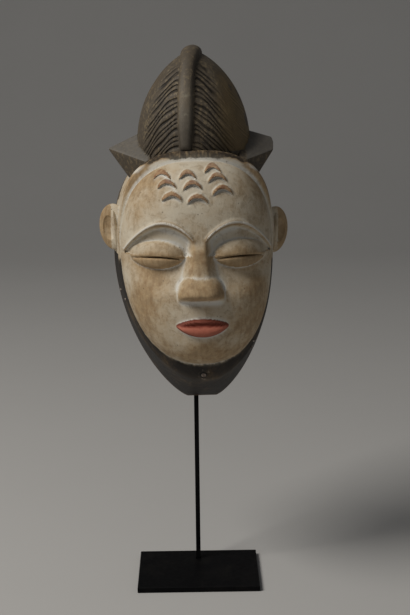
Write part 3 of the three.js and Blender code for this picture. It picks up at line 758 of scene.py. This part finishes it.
mask = as_object("carved_mask", moved_grid(BODY_CELLS, body_points))
combine(mask, "UNION", [crest_object, *tresses, *ears])
hollow = as_object("hollow", moved_grid(HOLLOW_CELLS, hollow_points))
combine(mask, "DIFFERENCE", [hollow, eye_slit(-1), eye_slit(1)])

# Paint and wear: what each point of the wood is, and where light or shade is painted on it,
# stored on the mesh's points for the material to read.
# White clay covers the face, the ears and the head's sides up to the hair, and is worn on high places.
TEMPLE = 45
CLAY_TOP_RISE = 2.5  # above the hairline, in the middle
CLAY_TOP_FALL = 7  # from there to the temples
EAR_CLAY_DEPTH = 13  # how far back from the face's edge the clay goes beside the ears
CROWN_CLAY_DEPTH = 58  # and above them
CHIN_PEG_HEIGHT = 32
CHIN_PEG_OFFSET = -0.2
FINE_ROUNDS = 4  # of smoothing, to find narrow recesses
BROAD_ROUNDS = 40
SMEAR_ROUNDS = 24
SHARP_ANGLE = 50
points = np.empty(len(mask.data.vertices) * 3)
mask.data.vertices.foreach_get("co", points)
points = points.reshape(-1, 3)
normals = np.empty(len(mask.data.vertices) * 3)
mask.data.vertices.foreach_get("normal", normals)
normals = normals.reshape(-1, 3)
links = np.empty(len(mask.data.edges) * 2, dtype=np.int32)
mask.data.edges.foreach_get("vertices", links)
links = links.reshape(-1, 2)
ends = np.concatenate([links[:, 0], links[:, 1]])
others = np.concatenate([links[:, 1], links[:, 0]])
neighbours = np.maximum(np.bincount(ends, minlength=len(points)), 1)


def smoothed(values, rounds):
    for _ in range(rounds):
        around = np.bincount(ends, weights=values[others], minlength=len(points)) / neighbours
        values = 0.5 * values + 0.5 * around
    return values


def recess(rounds):
    """How far the surface lies below its own smoothed shape, in millimetres."""
    soft = np.stack([smoothed(points[:, axis], rounds) for axis in range(3)], axis=1)
    return np.sum((soft - points) * normals, axis=1)


def share_for(out):
    """The share of the way out at which a domed surface has come this far."""
    return np.arcsin(np.minimum(out, 1)) * 2 / np.pi


def as_number(places):
    return np.where(places, 1.0, 0.0)


x, y, z = points.T
crest_x = (x - CREST_SHIFT) * math.cos(CREST_TURN) + y * math.sin(CREST_TURN)
x = x - sway(z)
crest_y = y * math.cos(CREST_TURN) - (x - CREST_SHIFT) * math.sin(CREST_TURN)
crest_direction = np.arctan2(z - CREST_MIDDLE, crest_x)
crest_reach = reach(crest_half_width, crest_direction, CREST_MIDDLE)
crest_out = np.hypot(crest_x, z - CREST_MIDDLE) / crest_reach
before_lobe = crest_points(share_for(crest_out), crest_direction)[:, 1] - crest_y
rib_stand_out = (RIB_HEIGHT + 1.2) * edge(2, 9, z - CREST_MIDDLE)
most_before = np.where(np.abs(crest_x) < half_rib_at(z) + 0.5, rib_stand_out, 0) + 0.8
on_lobe = (before_lobe > -4) & (before_lobe < most_before)
on_crest = (crest_out < 1.06) & on_lobe & (z > CREST_MIDDLE + 1)
height_on_crest = z - CREST_MIDDLE
rib_fade = edge(-8, 34, height_on_crest) * (1 - edge(46, 70, height_on_crest))
lower_spot = hump(crest_x, height_on_crest - 34, 3, 1.6)
upper_spot = hump(crest_x, height_on_crest - 49, 3.4, 1.6)

direction = np.arctan2(z - MIDDLE, x)
outward = np.hypot(x, z - MIDDLE)
hollow_rim = hollow_points(np.ones_like(direction), direction)
hollow_reach = np.hypot(hollow_rim[:, 0] - sway(hollow_rim[:, 2]), hollow_rim[:, 2] - MIDDLE)
hollow_y = hollow_points(share_for(outward / hollow_reach), direction)[:, 1]
in_hollow = (outward < hollow_reach + 1) & (y > hollow_y - 2)
on_back_plane = (normals[:, 1] > 0.25) & (y > -3)

body_reach, face_reach = body_and_face_reach(direction)
edge_depth = edge_depth_at(direction)
behind_edge = y + edge_depth
on_face = (outward < face_reach * 1.004) & (behind_edge < 1.5)
back = np.interp(behind_edge, (*BAND_PLACES, CHIN_DEPTH), (*BAND_SHARES, 1))
side_distance = side_distance_at(back, np.maximum(behind_edge, 0), direction, face_reach, body_reach)
on_head = outward < side_distance + 1.2
clay_top = HAIRLINE + CLAY_TOP_RISE - CLAY_TOP_FALL * (np.abs(x) / TEMPLE) ** 3
clay_depth = EAR_CLAY_DEPTH + (CROWN_CLAY_DEPTH - EAR_CLAY_DEPTH) * edge(150, 165, z)
past_clay = edge(-4, 2, behind_edge - clay_depth)
head_clay = edge(-0.8, 0.8, clay_top - z) * edge(114, 138, z) * (1 - past_clay) * on_head
upward = np.sin(direction) > 0.5
clay_rim = np.exp(-(((clay_top - z - 2) / 2.2) ** 2)) * head_clay * upward
in_band_depth = (behind_edge > -4) & (behind_edge < BAND_PLACES[-1])
on_band = (z > clay_top) & in_band_depth & upward & ~on_crest
on_tress = (np.abs(x - CREST_SHIFT) > 40) & (z > CREST_MIDDLE - 30) & ~on_crest & (behind_edge > 8)
ear_middle = np.where(x < 0, LEFT_EAR_MIDDLE, RIGHT_EAR_MIDDLE)
beside_head = (np.abs(x) > 62) & (np.abs(z - ear_middle) < EAR_HEIGHT * 0.56)
on_ear = beside_head & (y < -4) & (y > -46)
face_clay = (on_face & (z < 150)) | on_ear

# Along each brow's ridge a thin white line: part white clay, part painted highlight where the ridge
# catches the light.
along_brow, brow_height = brow_arc(x)
on_brow = edge(-0.06, 0.05, along_brow) * (1 - edge(0.97, 1.08, along_brow)) * on_face
brow_line = on_brow * np.exp(-(((brow_height - z + 1.2) / 1.1) ** 2))
upper_edge, lower_edge = lip_edges(x)
inside_edges = np.minimum(upper_edge - z, z - lower_edge) + 0.3
inside_lips = np.minimum(inside_edges, (MOUTH_HALF_WIDTH - np.abs(x)) * 0.4)
scar, scoop = scar_shapes(x, z)
ochre_spots = (
    0.55 * hump(np.abs(x) - 46, z - 190, 14, 20)
    + 0.8 * hump(np.abs(x) - 42, z - 95, 13, 24)
    + 0.75 * hump(x, z - (NOSE_BASE + 8), 14, 8)
    + 0.8 * hump(np.abs(x) - EYE_MIDDLE, z - (EYE_LINE - 6), 17, 5)
    + 0.9 * hump(x, z - (CHIN_LINE + 12), 24, 8)
    + 0.4 * hump(x, z - (BROW_LINE - 16), 7, 18)
    + 0.9 * on_ear * (np.abs(x) > 70)
)
stored = {
    "clay": np.maximum(smoothed(as_number(face_clay), 7), head_clay),
    "clay_rim": clay_rim,
    "smear": smoothed(as_number(on_face), SMEAR_ROUNDS),
    "ochre": np.clip(ochre_spots, 0, 1),
    "fine_recess": recess(FINE_ROUNDS),
    "broad_recess": recess(BROAD_ROUNDS),
    "brow": brow_line,
    "lip": edge(-0.9, 0.9, inside_lips) * on_face * (y < -70),
    # The upper lip, where painted shade darkens the red, as it faces down.
    "upper_lip_shade": edge(-0.6, 0.8, z - MOUTH_LINE),
    "scar": scar * on_face,
    "scoop": scoop * on_face,
    "hair": smoothed(as_number(z > CREST_MIDDLE - 46) * (behind_edge > 4), 2),
    "band": smoothed(as_number(on_band), 1),
    # Upward faces of the tresses: painted light from above, and grey dust.
    "tress": on_tress * edge(0.1, 0.5, normals[:, 2]),
    "groove": groove_number(crest_x, z),
    "combed": combed_share(crest_x, z) * on_crest,
    "crest_right": edge(18, 38, crest_x) * on_crest * (height_on_crest > 4),
    "rib": (1 - edge(-0.8, 0.4, np.abs(crest_x) - half_rib_at(z))) * rib_fade * on_crest,
    "rib_spots": np.clip(lower_spot + upper_spot, 0, 1) * on_crest,
    "from_chin_peg": np.hypot(x - CHIN_PEG_OFFSET, z - CHIN_PEG_HEIGHT),
    "inside": smoothed(as_number(in_hollow | on_back_plane), 1),
}
for name, values in stored.items():
    layer = mask.data.attributes.new(name, "FLOAT", "POINT")
    layer.data.foreach_set("value", values.astype(np.float32))
mask.data.transform(mask_place)
for polygon in mask.data.polygons:
    polygon.use_smooth = True
mask.data.set_sharp_from_angle(angle=math.radians(SHARP_ANGLE))

# The clay: tan where it is rubbed to the wood, white in the recesses, and smudged, specked and mottled,
# with painted highlight on the brows' ridges and painted shade on the upper lip and in the mouth.
carved_wood = Finish("clay-painted wood")
painted = carved_wood.painted
fine_recess = painted("fine_recess")
broad_recess = painted("broad_recess")
cloud = carved_wood.grain(38, detail=6, rough=0.6)
fine_cloud = carved_wood.grain(240, detail=5, rough=0.65)
fibre = carved_wood.grain(1, detail=6, rough=0.6, place=carved_wood.stretched((420, 420, 30)))
high_place = painted("ochre") * 0.8 - broad_recess * 0.12 - fine_recess * 0.8
worn = (high_place + cloud * 1.5 + fine_cloud * 0.35 - 0.72).step(0, 0.9)
kept = (fine_recess * 1.1 + broad_recess * 0.2 + fine_cloud * 0.6 + cloud * 0.4 - 0.55).step(0, 0.8)
smudge = (carved_wood.grain(55, detail=5, rough=0.7) * 1.6 + fine_cloud * 0.4 - 1.1).step(0, 0.55)
rubbed = (fibre * 1.3 + fine_cloud * 0.9 + worn * 0.5 - 1.42).step(0, 0.5)
speck = (1 - carved_wood.speckle(210).step(0.08, 0.16)) * carved_wood.grain(95, detail=2).step(0.55, 0.62)
mottle = (carved_wood.grain(150, detail=6, rough=0.75, twist=0.6) + worn * 0.08).step(0.5, 0.68)
scar_top = (painted("scar") * 1.3 + fine_cloud * 0.7 - 0.75).step(0.1, 0.55)
scar_colour = carved_wood.mix(fine_cloud.step(0.35, 0.65), (0.20, 0.075, 0.035), (0.42, 0.27, 0.15))
scoop_clay = (painted("scoop") * (fine_cloud * 0.6 + 0.5)).held()
# White lines: along each brow's ridge, part clay and part painted highlight; just under the hair's edge,
# clay.
clay_and_highlight_lines = painted("brow") * 1.1 + painted("clay_rim") * cloud * 1.4
white_clay_and_highlight = (clay_and_highlight_lines + fine_cloud * 0.5 - 0.5).step(0, 0.6)
lip = (painted("lip") + (fine_cloud - 0.5) * 0.35).step(0.35, 0.65)
# Red paint, lighter or darker at random, and darker in the lips' creases and the mouth's parting as
# painted shade.
red_tone_and_shade = (fine_cloud * 1.2 + cloud * 0.5 - fine_recess * 0.8 - 0.2).step(0.2, 0.9)
red = carved_wood.layers(
    (0.21, 0.04, 0.022),
    (red_tone_and_shade, (0.40, 0.125, 0.08)),
    # Upper lip darker red: painted shade, as it faces down.
    (painted("upper_lip_shade") * 0.75, (0.13, 0.028, 0.016)),
)
clay_colour = carved_wood.layers(
    (0.61, 0.545, 0.43),
    (worn, (0.44, 0.315, 0.18)),
    (kept * 0.8, (0.66, 0.645, 0.60)),
    (smudge * 0.45, (0.30, 0.27, 0.215)),
    (rubbed * 0.6, (0.25, 0.145, 0.065)),
    (speck * 0.6, (0.06, 0.04, 0.025)),
    (mottle * 0.45, (0.25, 0.175, 0.10)),
    (scar_top * 0.8, scar_colour),
    (scoop_clay * 0.6, (0.56, 0.57, 0.56)),
    (white_clay_and_highlight * 0.85, (0.68, 0.65, 0.58)),
    (lip, red),
)

# The stain: painted shade, nearly black, down the grooves, and dusty on top, with less dust in the broad
# recesses, which stay darker. Painted light from above and grey dust lighten the tresses' upward faces.
# On the crest's right side it is rubbed to brown wood, and round the peg in the chin the wood is frayed,
# with painted shade of its lacing hole.
hair = painted("hair")
groove = painted("groove")
on_right = painted("crest_right")
# Grey dust in clouds, more on the hair; the broad recesses get less of it and stay darker.
dust = (hair * 0.25 - broad_recess * 0.5 + cloud * 1.2 + fine_cloud * 0.5 - 0.8).step(0, 0.9)
brown_place = carved_wood.grain(26, detail=5, rough=0.65) * 1.5 + fibre * 0.6 + on_right * 0.7
speckles = carved_wood.grain(420, detail=4, rough=0.7) * 1.2
freckle = (speckles + fibre * 0.8 + cloud * 0.5 - 1.25).step(0, 0.22) * hair
# Down each groove's middle: a finer cut in the bump, and painted shade, near black, in the colour.
groove_cut_and_shade = (1 - groove.math("PINGPONG", 0.5).step(0.04, 0.26)) * painted("combed")
groove_cut_and_shade = groove_cut_and_shade * (carved_wood.grain(70, detail=3) * 1.6 + 0.1).held()
scratch = (1 - (groove * 3).math("PINGPONG", 0.5).step(0.05, 0.3)) * on_right
pale_scratch = (groove * 5 + fine_cloud * 0.6).math("PINGPONG", 0.5).step(0.38, 0.5) * on_right
rib_spot = (painted("rib_spots") * 0.9 + fine_cloud * 1.6 - 1.35).step(0, 0.4)
band_fibre = (fibre * 1.4 + fine_cloud * 1.1 - 1.15).step(0, 0.5)
band_colour = carved_wood.mix(band_fibre, (0.05, 0.036, 0.024), (0.33, 0.235, 0.13))
smear = (painted("smear") * 2.4 + cloud * 1.2 + fine_cloud * 0.5 - 1.45).step(0, 1)
from_peg = painted("from_chin_peg") + (fine_cloud - 0.5) * 3
fray = (fibre * 1.6 + fine_cloud * 0.8 - 1.25).step(0, 0.3) * (1 - from_peg.step(4, 6.5))
stain = carved_wood.layers(
    (0.015, 0.0115, 0.009),
    (dust, (0.052, 0.043, 0.034)),
    (hair * (0.4 + fine_cloud * 0.55), (0.105, 0.084, 0.06)),
    ((brown_place - 1.05).step(0, 0.6) * 0.75, (0.18, 0.115, 0.05)),
    (freckle * 0.6, (0.22, 0.17, 0.10)),
    (groove_cut_and_shade * 0.9, (0.006, 0.0045, 0.0035)),
    (on_right * cloud, (0.23, 0.17, 0.085)),
    (scratch * fine_cloud * 0.9, (0.012, 0.009, 0.007)),
    (pale_scratch * (cloud * 2.4 - 0.6).held(), (0.34, 0.23, 0.10)),
    (painted("rib") * (cloud * 0.6 + fine_cloud * 0.5), (0.18, 0.155, 0.12)),
    (rib_spot * 0.6, (0.26, 0.24, 0.18)),
    # Tresses lighter on their upward faces: painted light from above, and grey dust.
    (painted("tress") * (0.4 + fine_cloud * 0.6), (0.15, 0.14, 0.125)),
    (painted("band"), band_colour),
    (smear * 0.75 * (1 - hair), (0.20, 0.185, 0.15)),
    (fray * 0.8, (0.42, 0.37, 0.30)),
    # Near black within about 3 mm of the chin peg: painted shade of its lacing hole.
    (1 - from_peg.step(2.4, 3.4), (0.006, 0.005, 0.004)),
)

# Together: clay over stain, and bare wood in the hollow and on the flat back.
clay = painted("clay")
covered = (clay + fine_cloud - 0.5).step(0.3, 0.7)
bare = carved_wood.mix(fibre, (0.10, 0.062, 0.035), (0.17, 0.11, 0.065))
colour = carved_wood.layers(stain, (covered, clay_colour), (painted("inside"), bare))
carved_wood.feed("Base Color", colour)
carved_wood.feed("Roughness", (0.62 + fine_cloud * 0.2 - (1 - clay) * 0.1).held())
carved_wood.feed("Specular IOR Level", 0.3)
roughness_height = fibre * 0.5 + fine_cloud * 0.6 + carved_wood.grain(900, detail=3) * 0.35
carved_wood.bump(roughness_height - groove_cut_and_shade * 3.0 - scratch * 0.6, 0.0005, 0.8)
mask.data.materials.clear()
mask.data.materials.append(carved_wood.material)
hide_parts("mask")
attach(mask, "root")

# Pegs: split wood, whittled thin and driven into the lacing holes in the chin and along the rim.
# They were left there when the lacing went, and their ends are pale and fibrous.
peg_wood = Finish("peg wood")
peg_grain = peg_wood.grain(1, detail=4, place=peg_wood.stretched((900, 900, 200)))
peg_colour = peg_wood.mix(peg_grain.step(0.35, 0.7), (0.10, 0.06, 0.042), (0.50, 0.44, 0.38))
peg_wood.feed("Base Color", peg_colour)
peg_wood.feed("Roughness", 0.8)
peg_wood.bump(peg_grain, 0.0003)
for name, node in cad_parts.items():
    if "peg" in name:
        node.data.materials.clear()
        node.data.materials.append(peg_wood.material)
